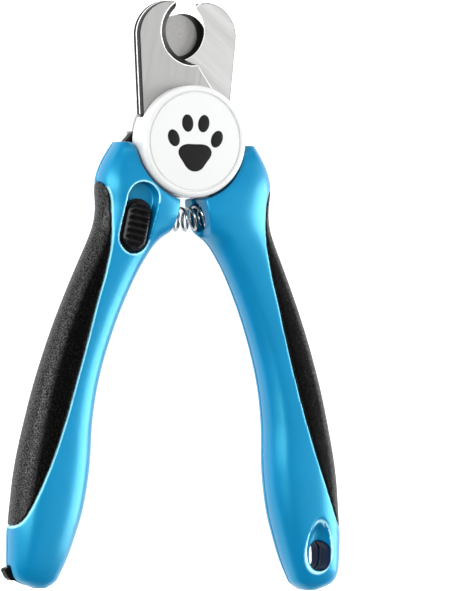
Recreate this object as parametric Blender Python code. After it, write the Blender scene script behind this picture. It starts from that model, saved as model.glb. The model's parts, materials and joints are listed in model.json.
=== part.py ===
"""Pet nail trimmer, lying on its back with the jaws towards +Y.

Two steel blades turn on one bolt. The rear blade carries the left handle and the front blade
carries the right handle. The bolt's axis is the Z axis, and the flat face of the rear cap lies on Z = 0.
Lengths are in millimetres until a mesh is made. Heights (z) are measured from the mid-plane between
the two blades, and to_metres adds the mid-plane's own height.
"""
from math import atan2, cos, hypot, pi, radians, sin, sqrt

import bmesh
import bpy
from mathutils import Vector

MM = 0.001
GAP = 0.3                     # clearance left between pieces that touch
HALF_GAP = GAP / 2
FAR = 60.0                    # reach of cutters beyond the material

# Pivot, caps and blades
MID_HEIGHT = 9.3              # blades' mid-plane above the rear cap's flat face
CAP_RADIUS = 16.0
CAP_FACE_Z = 9.3
CAP_SKIN = 1.3
CAP_WALL = 1.6
CAP_FILLET = 1.4
CAP_SKIRT_Z = 0.8             # the skirt stops this far from the mid-plane
HORN_BORE = 16.8              # concave edge of both handles, around the caps
BLADE_NEAR = HALF_GAP
BLADE_FAR = {-1: 4.75, 1: 3.15}       # outer face of the front blade (-1) and of the rear blade (1)
TANG_FAR = 3.15                       # the front blade's tang is thinner than its jaw
TANG_STEP = (16.3, 60.0, -80.0, 12.0)         # radii and angles of the thinner part
HUB_RADIUS = 11.0
LUG_RADIUS = 14.1             # lock lug on the front blade's hub
LUG_ANGLES = (-60.0, -54.5)   # before the outline is mirrored

# Jaw outline (right-hand jaw; the other is its mirror image)
JAW_CORNER = ((12.3, 6.9), (14.4, 7.3))      # where the jaw's outer edge runs out of the hub
JAW_ROUND = (6.3, 30.1, 9.8)  # centre x, centre y, radius
JAW_TIP = ((4.8, 39.6), (3.4, 38.7))
JAW_THROAT = ((-0.3, 23.5), (-2.1, 22.0), (-6.3, 16.0), (-9.6, 9.7), (-12.6, 5.2), (-13.6, 1.9))
EDGE_CIRCLE = (-2.6, 31.6, 8.6)      # cutting edge, next to the mid-plane
BEVEL_CIRCLE = {-1: (-0.4, 31.4, 9.8), 1: (-1.1, 31.4, 9.8)}     # where the bevel meets the outer face
TANG = ((-15.6, 1.9), (-21.6, -4.8), (-21.6, -14.0), (-23.4, -28.0), (-23.9, -35.6), (-23.0, -36.5),
        (-19.4, -36.5), (-18.4, -35.5), (-14.8, -26.0), (-10.0, -17.5))
TANG_PINS = ((-19.2, -8.5), (-20.9, -33.2))
PIN_RADIUS = 1.5
PIN_HALF_LENGTH = 3.9

# Bolt, nut and washers
BOLT_RADIUS = 3.0
BOLT_HOLE = BOLT_RADIUS + GAP
BOLT_END = -7.8
BOLT_CHAMFER = 0.3
HEAD_RADIUS = 5.6
HEAD_HEIGHT = 1.9
HEAD_CHAMFER = 0.6
HEAD_SLOT = (6.5, 0.5, 0.9)   # half length, half width, depth
WASHER = 0.4
WASHER_RADIUS = 6.5
FRICTION_WASHER_RADIUS = 6.2
NUT_RADIUS = 5.2
NUT_Z = (-7.75, -5.65)

# Guard that limits how far a claw goes in
GUARD_Z = (-4.65, -3.95)
GUARD_TIP = (1.3, 29.4, 7.2)
GUARD_HUB = 9.0
GUARD_PAD = (-0.6, 30.3, 5.9)
GUARD_PAD_Z = -3.45

# Posts that seat the caps on the blades, and windows in their skirts: angles and height
POST_ORBIT = 11.6
POST_RADIUS = 1.3
POST_ANGLES = {1: (40.0, 185.0, 280.0), -1: (150.0, 265.0, 345.0)}
WINDOW_RADII = (13.4, 18.0)
FRONT_SEAT = BLADE_FAR[-1] + GAP
REAR_SEAT = BLADE_FAR[1] + GAP        # the tang's pocket is as deep in both handles
FRONT_WINDOWS = ((-68.0, 8.8, FRONT_SEAT), (48.0, 156.0, FRONT_SEAT), (-145.0, -95.0, FRONT_SEAT))
REAR_WINDOWS = ((24.0, 132.0, REAR_SEAT), (171.2, 248.0, REAR_SEAT), (8.0, 127.0, GAP - GUARD_Z[0]))

# Handle stations: y, inner x, outer x, half thickness (right handle)
STATIONS = (
    (-0.6, 17.2, 21.4, 3.4), (-2.4, 14.0, 22.6, 4.9), (-8.0, 8.5, 25.6, 6.7), (-14.0, 2.0, 26.8, 7.9),
    (-19.5, -2.0, 26.5, 8.0), (-24.0, 1.4, 27.0, 7.4), (-28.0, 7.5, 28.3, 7.0), (-33.8, 12.0, 30.8, 6.8),
    (-42.4, 16.5, 34.5, 6.7), (-54.0, 21.2, 39.0, 6.8), (-68.0, 25.3, 43.5, 7.2), (-79.5, 27.1, 46.4, 7.8),
    (-93.7, 27.8, 49.3, 8.3), (-105.0, 29.5, 50.5, 8.2), (-113.7, 32.0, 51.1, 7.6),
    (-119.4, 34.0, 51.1, 6.8), (-123.4, 35.8, 50.6, 5.8), (-126.0, 37.3, 48.4, 4.6),
    (-127.6, 40.0, 44.2, 3.0),
)
HANDLE_Z = 0.9                # the handles' own middle, in front of the blades' mid-plane
SECTION_POWER = 2.5           # superellipse power of a handle section
SECTION_POINTS = 16
# Face of each handle's lobe beside the spring: degrees from -Y, for the front and the rear level
LOBE_FACES = {-1: {"front": 10.9, "rear": 13.2}, 1: {"front": 14.4, "rear": 12.0}}
LOBE_REACH = 27.6
LOBE_STEP = (2.6, 2.4)        # the wedge widens by this much beyond its reach
LOBE_SPAN = (-12.0, 4.0)      # furthest x and y of the wedge

# Soft grip: its edge on the handle's face, and its thickness
GRIP_EDGE = ((29.5, -10.6), (27.0, -11.6), (25.2, -14.2), (24.2, -19.0), (24.1, -25.7), (25.9, -37.1),
             (28.3, -45.7), (31.2, -57.2), (34.4, -68.7), (37.8, -80.2), (41.8, -91.7), (46.4, -103.0),
             (48.6, -107.6), (50.3, -109.8), (53.5, -111.2))
GRIP_SIDE = 2.0
GRIP_FACE = 1.5

# Return spring, along an arc about the pivot
SPRING_ARC = 22.2
SPRING_COIL = 3.2
SPRING_WIRE = 0.42
SPRING_TURNS = 7
SPRING_END_GAP = 1.8          # degrees between each end and the bottom of its pocket
POCKET_ANGLE = 25.5           # depth of each pocket, degrees from -Y
POCKET_START = -4.0
POCKET_RADIUS = 4.0

# Lock: a button in a slot of the left handle, with a steel bolt under it
LOCK_CENTRE = (-16.8, -24.7)
LOCK_LEAN = 11.0
LOCK_TRAVEL = 4.4
SLOT_SIZE = (9.2, 20.6)
SLOT_SHIFT = 2.65
SLOT_FLOOR = 4.9
BASE_SIZE = (8.6, 15.4)       # foot of the button
BASE_Z = (5.2, 6.4)
BUTTON_SIZE = (7.5, 14.2)     # ribbed part
BUTTON_TOP = 8.8
BUTTON_SHIFT = 0.4
RIB_PITCH = 1.85
RIB_COUNT = 7
GROOVE = (4.2, 0.35, 0.6)     # half length, half width and depth of the grooves between the ribs
STEM = 1.2                    # half side of the stem that drives the bolt
STEM_END = 0.9
WINDOW_PLAY = 0.4
LOCK_BOLT_Z = (0.45, 2.85)
LOCK_PLAY = 0.35
BOLT_HALF = (2.6, 4.0)        # half width and half length of the bolt's body
NOSE_X = (2.97, 5.57)
NOSE_END = 12.66
NOSE_STEPS = (2.4, 7.6, 9.0)  # where the bolt widens into its nose
CHANNEL_STEPS = (2.3, 7.5, 9.4)
CHANNEL_END = 24.0
LEAF_X = (2.3, 3.3)           # detent leaf: its two edges, half length, hump and thickness
LEAF_HALF_LENGTH = 4.3
LEAF_HUMP = 0.2
LEAF_THICKNESS = 0.2
LEAF_GROOVE_TOP = 5.85

# Nail file that slides into the left handle
FILE_BASE = (-44.0, -126.4)
FILE_LEAN = 10.9
FILE_HALF_WIDTH = 4.9
FILE_HALF_THICKNESS = 0.5
FILE_START = 6.0
FILE_END = 86.5
FILE_CAP = ((-6.2, 12.0), (6.2, 12.0), (6.2, 4.6), (3.6, 2.2), (-4.0, 0.3), (-6.2, -0.3), (-7.3, 0.2),
            (-9.0, 2.1), (-8.7, 2.8), (-7.6, 3.4), (-6.2, 3.9))
FILE_CAP_HALF = 1.7
MOUTH_REACH = (-16.0, -8.0)   # how far the mouth for the cap is open, left and down

# Hanging hole at the right handle's end
HANG_CENTRE = (43.2, -117.6)
HANG_HOLE = (5.9, 8.4)
HANG_RECESS = (8.0, 15.0, 0.22)   # width, length, and how much narrower it is at its top
HANG_RECESS_SHIFT = (-0.7, 2.6)
HANG_RECESS_FLOOR = 5.9


def clear_scene():
    for item in list(bpy.data.objects):
        bpy.data.objects.remove(item, do_unlink=True)


def make_material(name, colour, roughness, metallic):
    """A plain Principled material with one colour."""
    material = bpy.data.materials.new(name)
    material.use_nodes = True
    shader = material.node_tree.nodes["Principled BSDF"]
    shader.inputs["Base Color"].default_value = (*colour, 1.0)
    shader.inputs["Roughness"].default_value = roughness
    shader.inputs["Metallic"].default_value = metallic
    return material


def to_metres(x, y, z):
    return Vector((x * MM, y * MM, (z + MID_HEIGHT) * MM))


# ---------------------------------------------------------------- outlines

def arc(cx, cy, radius, start, end, steps):
    """Points on a circle from start to end degrees, both ends included."""
    turn = [radians(start + (end - start) * i / steps) for i in range(steps + 1)]
    return [(cx + radius * cos(t), cy + radius * sin(t)) for t in turn]


def circle(cx, cy, radius, sides):
    return arc(cx, cy, radius, 0.0, 360.0 * (1 - 1 / sides), sides - 1)


def stadium(cx, cy, width, length, steps=8):
    """A slot shape with round ends, its long side along Y."""
    radius = width / 2
    half = length / 2 - radius
    return arc(cx, cy + half, radius, 0.0, 180.0, steps) + arc(cx, cy - half, radius, 180.0, 360.0, steps)


def sector(inner, outer, start, end, steps=10):
    return arc(0, 0, outer, start, end, steps) + arc(0, 0, inner, end, start, steps)


def mirrored(points):
    return [(-x, y) for x, y in points]


def down_line(angle, radius):
    """The point at this distance from the pivot, angle degrees to the right of -Y."""
    return radius * sin(radians(angle)), -radius * cos(radians(angle))


def offset(points, distance):
    """The closed outline moved outwards by distance, with mitred corners."""
    area = sum(a[0] * b[1] - b[0] * a[1] for a, b in zip(points, points[1:] + points[:1]))
    side = 1.0 if area > 0 else -1.0
    moved = []
    for before, here, after in zip(points[-1:] + points[:-1], points, points[1:] + points[:1]):
        into = Vector((here[0] - before[0], here[1] - before[1])).normalized()
        out = Vector((after[0] - here[0], after[1] - here[1])).normalized()
        normal_in = Vector((into.y, -into.x)) * side
        normal_out = Vector((out.y, -out.x)) * side
        bisector = (normal_in + normal_out).normalized()
        reach = distance / max(bisector.dot(normal_in), 0.5)
        moved.append((here[0] + bisector.x * reach, here[1] + bisector.y * reach))
    return moved


# ---------------------------------------------------------------- mesh helpers

def finish_mesh(name, bm, material=None, parent=None):
    """Turns a bmesh into an object with its faces pointing out."""
    bmesh.ops.recalc_face_normals(bm, faces=bm.faces)
    mesh = bpy.data.meshes.new(name)
    bm.to_mesh(mesh)
    bm.free()
    mesh.shade_smooth()
    mesh.set_sharp_from_angle(angle=radians(32))
    made = bpy.data.objects.new(name, mesh)
    bpy.context.scene.collection.objects.link(made)
    if material is not None:
        mesh.materials.append(material)
    if parent is not None:
        made.parent = parent
    return made


def loft(name, rings, material=None, parent=None):
    """A closed skin through rings of equal length, with flat ends."""
    bm = bmesh.new()
    rows = [[bm.verts.new(to_metres(*point)) for point in ring] for ring in rings]
    count = len(rows[0])
    for low, high in zip(rows, rows[1:]):
        for i in range(count):
            j = (i + 1) % count
            bm.faces.new((low[i], low[j], high[j], high[i]))
    bm.faces.new(rows[0])
    bm.faces.new(rows[-1])
    return finish_mesh(name, bm, material, parent)


def prism(name, outline, low, high, material=None, parent=None):
    rings = [[(x, y, z) for x, y in outline] for z in (low, high)]
    return loft(name, rings, material, parent)


def turned(name, profile, sides, material=None, parent=None):
    """Revolves a closed (radius, z) profile about the pivot; points on the axis close the shape."""
    bm = bmesh.new()
    rows = []
    for radius, z in profile:
        around = circle(0, 0, radius, sides) if radius else [(0, 0)]
        rows.append([bm.verts.new(to_metres(x, y, z)) for x, y in around])
    for low, high in zip(rows, rows[1:] + rows[:1]):
        if len(low) == 1 and len(high) == 1:
            continue
        for i in range(sides):
            j = (i + 1) % sides
            corners = [low[i % len(low)], low[j % len(low)], high[j % len(high)], high[i % len(high)]]
            bm.faces.new(list(dict.fromkeys(corners)))
    return finish_mesh(name, bm, material, parent)


def as_cutter(made):
    made.hide_render = True
    made.display_type = "WIRE"
    return made


def boolean(target, tool, operation="DIFFERENCE"):
    modifier = target.modifiers.new(tool.name, "BOOLEAN")
    modifier.operation = operation
    modifier.object = tool
    modifier.solver = "EXACT"


def cut_prism(target, name, outline, low, high, parent=None):
    boolean(target, as_cutter(prism(name, outline, low, high, None, parent)))


def add_empty(name, x=0.0, y=0.0, lean=0.0):
    """An empty on a joint's axis; lean turns it clockwise about Z."""
    empty = bpy.data.objects.new(name, None)
    empty.location = (x * MM, y * MM, 0.0)
    empty.rotation_euler = (0.0, 0.0, -radians(lean))
    bpy.context.scene.collection.objects.link(empty)
    return empty


# ---------------------------------------------------------------- blades, guard and pivot

def blade_outline(has_lug):
    """Outline of the rear blade: jaw on the right, tang on the lower left."""
    jaw = list(JAW_CORNER) + arc(*JAW_ROUND, 0.0, 84.0, 9) + list(JAW_TIP) + list(JAW_THROAT)
    low_angle = -118.0
    if has_lug:
        start, end = LUG_ANGLES
        hub = arc(0, 0, HUB_RADIUS, low_angle, start, 6)
        hub += arc(0, 0, LUG_RADIUS, start, end, 2)
        hub += arc(0, 0, HUB_RADIUS, end, 0.0, 6)
    else:
        hub = arc(0, 0, HUB_RADIUS, low_angle, 0.0, 12)
    return jaw + list(TANG) + hub


def make_blade(name, side, material, parent=None):
    """side +1 is the rear blade (jaw on the right), -1 the front blade (jaw on the left)."""
    outline = blade_outline(side < 0)
    far = BLADE_FAR[side]
    levels = (-far, -BLADE_NEAR)
    if side < 0:
        outline = mirrored(outline)
        levels = (BLADE_NEAR, far)
    blade = prism(name, outline, *levels, material, parent)
    spare = 0.5
    slope = spare / (far - BLADE_NEAR)
    ends = []
    for share, z in ((-slope, BLADE_NEAR - spare), (1 + slope, far + spare)):
        x, y, radius = (a + (b - a) * share for a, b in zip(EDGE_CIRCLE, BEVEL_CIRCLE[side]))
        ends.append([(px * side, py, -z * side) for px, py in circle(x, y, radius, 36)])
    boolean(blade, as_cutter(loft(f"{name}_notch", ends, None, parent)))
    if side < 0:
        cut_prism(blade, f"{name}_tang_step", sector(*TANG_STEP), TANG_FAR, FAR, parent)
    cut_prism(blade, f"{name}_pivot_hole", circle(0, 0, BOLT_HOLE, 20), -FAR, FAR, parent)
    for index, (x, y) in enumerate(TANG_PINS):
        hole = circle(x * side, y, PIN_RADIUS + GAP, 12)
        cut_prism(blade, f"{name}_pin_hole_{index}", hole, -FAR, FAR, parent)
    return blade


def make_guard(material, parent):
    """A steel tongue whose round end, behind the jaws, carries a raised pad."""
    x, y, radius = GUARD_TIP
    distance = hypot(x, y)
    lean = atan2(y, x) * 180 / pi
    flare = 90.0 - atan2(sqrt(distance ** 2 - (GUARD_HUB - radius) ** 2), GUARD_HUB - radius) * 180 / pi
    tip = arc(x, y, radius, lean - 90.0 + flare, lean + 90.0 - flare, 14)
    hub = arc(0, 0, GUARD_HUB, lean + 90.0 - flare, lean + 270.0 + flare, 16)
    guard = prism("guard_plate", tip + hub, *GUARD_Z, material, parent)
    pad = prism("guard_pad", circle(*GUARD_PAD, 24), GUARD_Z[0] + GAP, GUARD_PAD_Z, None, parent)
    boolean(guard, as_cutter(pad), "UNION")
    cut_prism(guard, "guard_hole", circle(0, 0, BOLT_HOLE, 20), -FAR, FAR, parent)


def make_washer(name, low, high, outer, material, parent=None):
    profile = [(BOLT_HOLE, low), (outer, low), (outer, high), (BOLT_HOLE, high)]
    return turned(name, profile, 24, material, parent)


def make_pivot(steel, parent):
    """Shoulder bolt, nut and the two washers that set the friction."""
    head_low = FRONT_SEAT + WASHER + GAP
    head_high = head_low + HEAD_HEIGHT
    profile = [(0, head_high), (HEAD_RADIUS - HEAD_CHAMFER, head_high),
               (HEAD_RADIUS, head_high - HEAD_CHAMFER), (HEAD_RADIUS, head_low), (BOLT_RADIUS, head_low),
               (BOLT_RADIUS, BOLT_END + BOLT_CHAMFER), (BOLT_RADIUS - BOLT_CHAMFER, BOLT_END), (0, BOLT_END)]
    bolt = turned("pivot_bolt", profile, 24, steel)
    half_length, half_width, depth = HEAD_SLOT
    slot = rectangle(-half_length, -half_width, half_length, half_width)
    cut_prism(bolt, "pivot_bolt_slot", slot, head_high - depth, FAR)
    make_washer("pivot_washer", FRONT_SEAT, FRONT_SEAT + WASHER, WASHER_RADIUS, steel, parent)
    low = GUARD_Z[0] - GAP - WASHER
    make_washer("guard_friction_washer", low, low + WASHER, FRICTION_WASHER_RADIUS, steel)
    nut = prism("pivot_nut", circle(0, 0, NUT_RADIUS, 6), *NUT_Z, steel)
    cut_prism(nut, "pivot_nut_hole", circle(0, 0, BOLT_HOLE, 20), -FAR, FAR)


def make_cap(name, face, windows, material, parent=None):
    """A white cover over one end of the pivot; face is +1 for the front and -1 for the rear."""
    inner = CAP_RADIUS - CAP_WALL
    ceiling = CAP_FACE_Z - CAP_SKIN
    rim = arc(CAP_RADIUS - CAP_FILLET, CAP_FACE_Z - CAP_FILLET, CAP_FILLET, 0.0, 90.0, 4)
    profile = [(inner, CAP_SKIRT_Z), (CAP_RADIUS, CAP_SKIRT_Z)] + rim
    profile += [(0, CAP_FACE_Z), (0, ceiling), (inner, ceiling)]
    cap = turned(name, [(r, z * face) for r, z in profile], 48, material, parent)
    foot = FRONT_SEAT if face > 0 else REAR_SEAT
    for index, angle in enumerate(POST_ANGLES[face]):
        x, y = arc(0, 0, POST_ORBIT, angle, angle, 1)[0]
        levels = sorted((foot * face, (ceiling + CAP_SKIN / 2) * face))
        outline = circle(x, y, POST_RADIUS, 10)
        boolean(cap, as_cutter(prism(f"{name}_post_{index}", outline, *levels, None, parent)), "UNION")
    for index, (start, end, depth) in enumerate(windows):
        levels = sorted((0.0, depth * face))
        cut_prism(cap, f"{name}_window_{index}", sector(*WINDOW_RADII, start, end), *levels, parent)


# ---------------------------------------------------------------- handles

def section(y, inner, outer, half, side):
    """One superellipse ring across a handle."""
    centre = (inner + outer) / 2
    width = (outer - inner) / 2
    ring = []
    for i in range(SECTION_POINTS):
        turn = 2 * pi * i / SECTION_POINTS
        c, s = cos(turn), sin(turn)
        x = centre + width * abs(c) ** (2 / SECTION_POWER) * (1 if c > 0 else -1)
        z = half * abs(s) ** (2 / SECTION_POWER) * (1 if s > 0 else -1)
        ring.append((x * side, y, z + HANDLE_Z))
    return ring


def handle_body(name, side, material=None, parent=None, side_inset=0.0, face_inset=0.0):
    rings = []
    for y, inner, outer, half in STATIONS:
        rings.append(section(y, inner, outer - side_inset, half - face_inset, side))
    return loft(name, rings, material, parent)


def grip_area(shift, side):
    """The part of the plan that the grip covers, its inner edge moved by shift towards the inside."""
    edge = [(x - shift, y) for x, y in GRIP_EDGE]
    edge[0] = (edge[0][0], edge[0][1] + shift)
    edge[-1] = (edge[-1][0], edge[-1][1] - shift)
    outline = edge + [(FAR + 10, GRIP_EDGE[-1][1] - shift), (FAR + 10, GRIP_EDGE[0][1] + shift)]
    return [(x * side, y) for x, y in outline]


def lobe_cut(level, side):
    """The wedge beside the spring that the opposite handle's lobe closes into."""
    angle = LOBE_FACES[side][level]
    corner = down_line(angle, LOBE_REACH)
    low = corner[1] - LOBE_STEP[1]
    left, top = LOBE_SPAN
    outline = [(0, top), (0, 0), corner, (corner[0] - LOBE_STEP[0], low), (left, low), (left, top)]
    return [(x * side, y) for x, y in outline]


def spring_pocket(name, side, parent):
    """Round channel that follows the spring's arc into one handle."""
    rings = []
    steps = 8
    for i in range(steps + 1):
        angle = POCKET_START + (POCKET_ANGLE - POCKET_START) * i / steps
        ring = []
        for across, z in circle(0, 0, POCKET_RADIUS, 12):
            x, y = down_line(angle, SPRING_ARC + across)
            ring.append((x * side, y, z))
        rings.append(ring)
    return as_cutter(loft(name, rings, None, parent))


def make_grip(name, side, material, parent):
    grip = handle_body(name, side, material, parent)
    area = prism(f"{name}_area", grip_area(0.0, side), -FAR, FAR, None, parent)
    boolean(grip, as_cutter(area), "INTERSECT")
    core = handle_body(f"{name}_core", side, None, parent, GRIP_SIDE, GRIP_FACE)
    boolean(grip, as_cutter(core))
    return grip


def make_shells(word, side, material, parent=None):
    """The front and rear halves of one handle, split at the mid-plane."""
    bed = prism(f"{word}_grip_bed", grip_area(GAP, side), -FAR, FAR, None, parent)
    core = handle_body(f"{word}_grip_core", side, None, parent, GRIP_SIDE + GAP, GRIP_FACE + GAP)
    boolean(as_cutter(bed), as_cutter(core))
    pocket = spring_pocket(f"{word}_spring_pocket", side, parent)
    shells = {}
    for level in ("front", "rear"):
        name = f"{word}_{level}_shell"
        shell = handle_body(name, side, material, parent)
        boolean(shell, bed)
        box = [(-FAR - 20, 20), (FAR + 20, 20), (FAR + 20, -140), (-FAR - 20, -140)]
        other = (-FAR, HALF_GAP) if level == "front" else (-HALF_GAP, FAR)
        cut_prism(shell, f"{name}_split", box, *other, parent)
        cut_prism(shell, f"{name}_bore", circle(0, 0, HORN_BORE, 64), -FAR, FAR, parent)
        cut_prism(shell, f"{name}_lobe", lobe_cut(level, side), -FAR, FAR, parent)
        boolean(shell, pocket)
        for index, (x, y) in enumerate(TANG_PINS):
            hole = circle(-x * side, y, PIN_RADIUS + GAP, 12)
            reach = PIN_HALF_LENGTH + GAP
            cut_prism(shell, f"{name}_pin_{index}", hole, -reach, reach, parent)
        shells[level] = shell
    return shells


def cut_tang_pocket(shell, side, parent):
    """A recess for the tang; the left handle holds the rear blade, the right one the front blade."""
    outline = offset(blade_outline(False), GAP)
    if side < 0:
        cut_prism(shell, "left_tang_pocket", outline, -REAR_SEAT, HALF_GAP, parent)
    else:
        cut_prism(shell, "right_tang_pocket", mirrored(outline), -HALF_GAP, REAR_SEAT, parent)


def make_pins(steel, parents):
    for side, word in ((-1, "left"), (1, "right")):
        for (x, y), place in zip(TANG_PINS, ("upper", "lower")):
            outline = circle(-x * side, y, PIN_RADIUS, 12)
            levels = (-PIN_HALF_LENGTH, PIN_HALF_LENGTH)
            prism(f"{word}_{place}_tang_pin", outline, *levels, steel, parents[side])


def make_spring(material):
    """Compression spring wound along an arc about the pivot."""
    curve = bpy.data.curves.new("return_spring", "CURVE")
    curve.dimensions = "3D"
    curve.bevel_depth = SPRING_WIRE * MM
    curve.bevel_resolution = 1
    curve.use_fill_caps = True
    steps = SPRING_TURNS * 12
    spline = curve.splines.new("POLY")
    spline.points.add(steps)
    reach = POCKET_ANGLE - SPRING_END_GAP
    for i in range(steps + 1):
        share = i / steps
        turn = 2 * pi * SPRING_TURNS * share
        x, y = down_line(reach * (2 * share - 1), SPRING_ARC + SPRING_COIL * cos(turn))
        spline.points[i].co = (*to_metres(x, y, -SPRING_COIL * sin(turn)), 1.0)
    spring = bpy.data.objects.new("return_spring", curve)
    bpy.context.scene.collection.objects.link(spring)
    curve.materials.append(material)


# ---------------------------------------------------------------- lock

def egg(cx, cy, width, length, taper, sides=24):
    """An ellipse that is narrower at its top."""
    points = []
    for i in range(sides):
        turn = 2 * pi * i / sides
        points.append((cx + width / 2 * cos(turn) * (1 - taper * sin(turn)), cy + length / 2 * sin(turn)))
    return points


def rectangle(low_x, low_y, high_x, high_y):
    return [(low_x, low_y), (high_x, low_y), (high_x, high_y), (low_x, high_y)]


def make_lock(plastic, steel, frame):
    """Ribbed button, the bolt that it drives and the leaf that holds it at either end."""
    button = prism("lock_button", stadium(0, BUTTON_SHIFT, *BASE_SIZE), *BASE_Z, plastic, frame)
    inside = BASE_Z[1] - GAP
    outline = stadium(0, BUTTON_SHIFT, *BUTTON_SIZE)
    ribbed = prism("lock_button_ribbed", outline, inside, BUTTON_TOP, None, frame)
    boolean(button, as_cutter(ribbed), "UNION")
    stem = prism("lock_button_stem", rectangle(-STEM, -STEM, STEM, STEM), STEM_END, inside, None, frame)
    boolean(button, as_cutter(stem), "UNION")
    half_length, half_width, depth = GROOVE
    for index in range(RIB_COUNT - 1):
        y = (index - (RIB_COUNT - 2) / 2) * RIB_PITCH + BUTTON_SHIFT
        groove = rectangle(-half_length, y - half_width, half_length, y + half_width)
        cut_prism(button, f"lock_button_groove_{index}", groove, BUTTON_TOP - depth, FAR, frame)
    leaf_space = rectangle(LEAF_X[0] - GAP, -FAR, LEAF_X[1] + GAP, FAR)
    cut_prism(button, "lock_button_leaf_groove", leaf_space, SLOT_FLOOR, LEAF_GROOVE_TOP, frame)
    half_x, half_y = BOLT_HALF
    low, middle, high = NOSE_STEPS
    left, right = NOSE_X
    outline = [(-half_x, -half_y), (half_x, -half_y), (half_x, low), (right, middle), (right, NOSE_END),
               (left, NOSE_END), (left, high), (-half_x, half_y)]
    bolt = prism("lock_bolt", outline, *LOCK_BOLT_Z, steel, frame)
    hole = STEM + GAP
    cut_prism(bolt, "lock_bolt_hole", rectangle(-hole, -hole, hole, hole), -FAR, FAR, frame)


def make_detent(steel, lock_place):
    """A leaf spring with a hump, lying on the slot's floor beside the stem."""
    near, far = LEAF_X
    rings = []
    steps = 12
    for i in range(steps + 1):
        y = LEAF_HALF_LENGTH * (2 * i / steps - 1)
        low = SLOT_FLOOR + HALF_GAP + LEAF_HUMP * (1 + cos(pi * y / LEAF_HALF_LENGTH)) / 2
        high = low + LEAF_THICKNESS
        corners = ((near, low), (far, low), (far, high), (near, high))
        rings.append([(x, y + SLOT_SHIFT, z) for x, z in corners])
    loft("lock_detent_spring", rings, steel, lock_place)


def cut_lock_space(shell, place):
    """Slot, floor window and bolt channel in the left handle's front shell."""
    cut_prism(shell, "lock_slot", stadium(0, SLOT_SHIFT, *SLOT_SIZE, 10), SLOT_FLOOR, FAR, place)
    side = STEM + WINDOW_PLAY
    window = rectangle(-side, -side, side, side + LOCK_TRAVEL)
    cut_prism(shell, "lock_window", window, STEM, SLOT_FLOOR + GAP, place)
    play = LOCK_PLAY
    half_x, half_y = BOLT_HALF[0] + play, BOLT_HALF[1] + play
    low, middle, high = CHANNEL_STEPS
    channel = [(-half_x, -half_y), (half_x, -half_y), (half_x, low), (NOSE_X[1] + play, middle),
               (NOSE_X[1] + play, CHANNEL_END), (NOSE_X[0] - play, CHANNEL_END),
               (NOSE_X[0] - play, high + LOCK_TRAVEL), (-half_x, half_y + LOCK_TRAVEL + HALF_GAP)]
    cut_prism(shell, "lock_channel", channel, -1.0, LOCK_BOLT_Z[1] + GAP, place)


# ---------------------------------------------------------------- nail file

def make_file(steel, plastic, frame):
    centre = FILE_END - FILE_HALF_WIDTH
    outline = [(-FILE_HALF_WIDTH, FILE_START), (FILE_HALF_WIDTH, FILE_START)]
    outline += arc(0, centre, FILE_HALF_WIDTH, 0.0, 180.0, 10)
    prism("nail_file_blade", outline, -FILE_HALF_THICKNESS, FILE_HALF_THICKNESS, steel, frame)
    cap = prism("nail_file_cap", FILE_CAP, -FILE_CAP_HALF, FILE_CAP_HALF, plastic, frame)
    side = FILE_HALF_WIDTH + GAP
    height = FILE_HALF_THICKNESS + GAP
    slot = rectangle(-side, FILE_START - GAP, side, FAR)
    cut_prism(cap, "nail_file_cap_slot", slot, -height, height, frame)


def cut_file_space(shell, word, place):
    """Half of the channel that the file and its cap slide in."""
    side = FILE_HALF_WIDTH + GAP
    height = FILE_HALF_THICKNESS + GAP
    end = arc(0, FILE_END - FILE_HALF_WIDTH, side, 0.0, 180.0, 10)
    cut_prism(shell, f"{word}_file_channel", [(-side, 0.0), (side, 0.0)] + end, -height, height, place)
    half = FILE_CAP[1][0] + GAP
    top = FILE_CAP[0][1] + GAP
    step = FILE_CAP[-1][1] + GAP
    left, low = MOUTH_REACH
    outline = [(-half, top), (half, top), (half, low), (left, low), (left, step), (-half, step)]
    height = FILE_CAP_HALF + GAP
    cut_prism(shell, f"{word}_file_mouth", outline, -height, height, place)


def cut_hanging_hole(shell, word, parent):
    cut_prism(shell, f"{word}_hang_hole", stadium(*HANG_CENTRE, *HANG_HOLE), -FAR, FAR, parent)
    if word == "front":
        recess = egg(HANG_CENTRE[0] + HANG_RECESS_SHIFT[0], HANG_CENTRE[1] + HANG_RECESS_SHIFT[1], *HANG_RECESS)
        cut_prism(shell, "hang_recess", recess, HANG_RECESS_FLOOR, FAR, parent)


# ---------------------------------------------------------------- assembly

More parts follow.
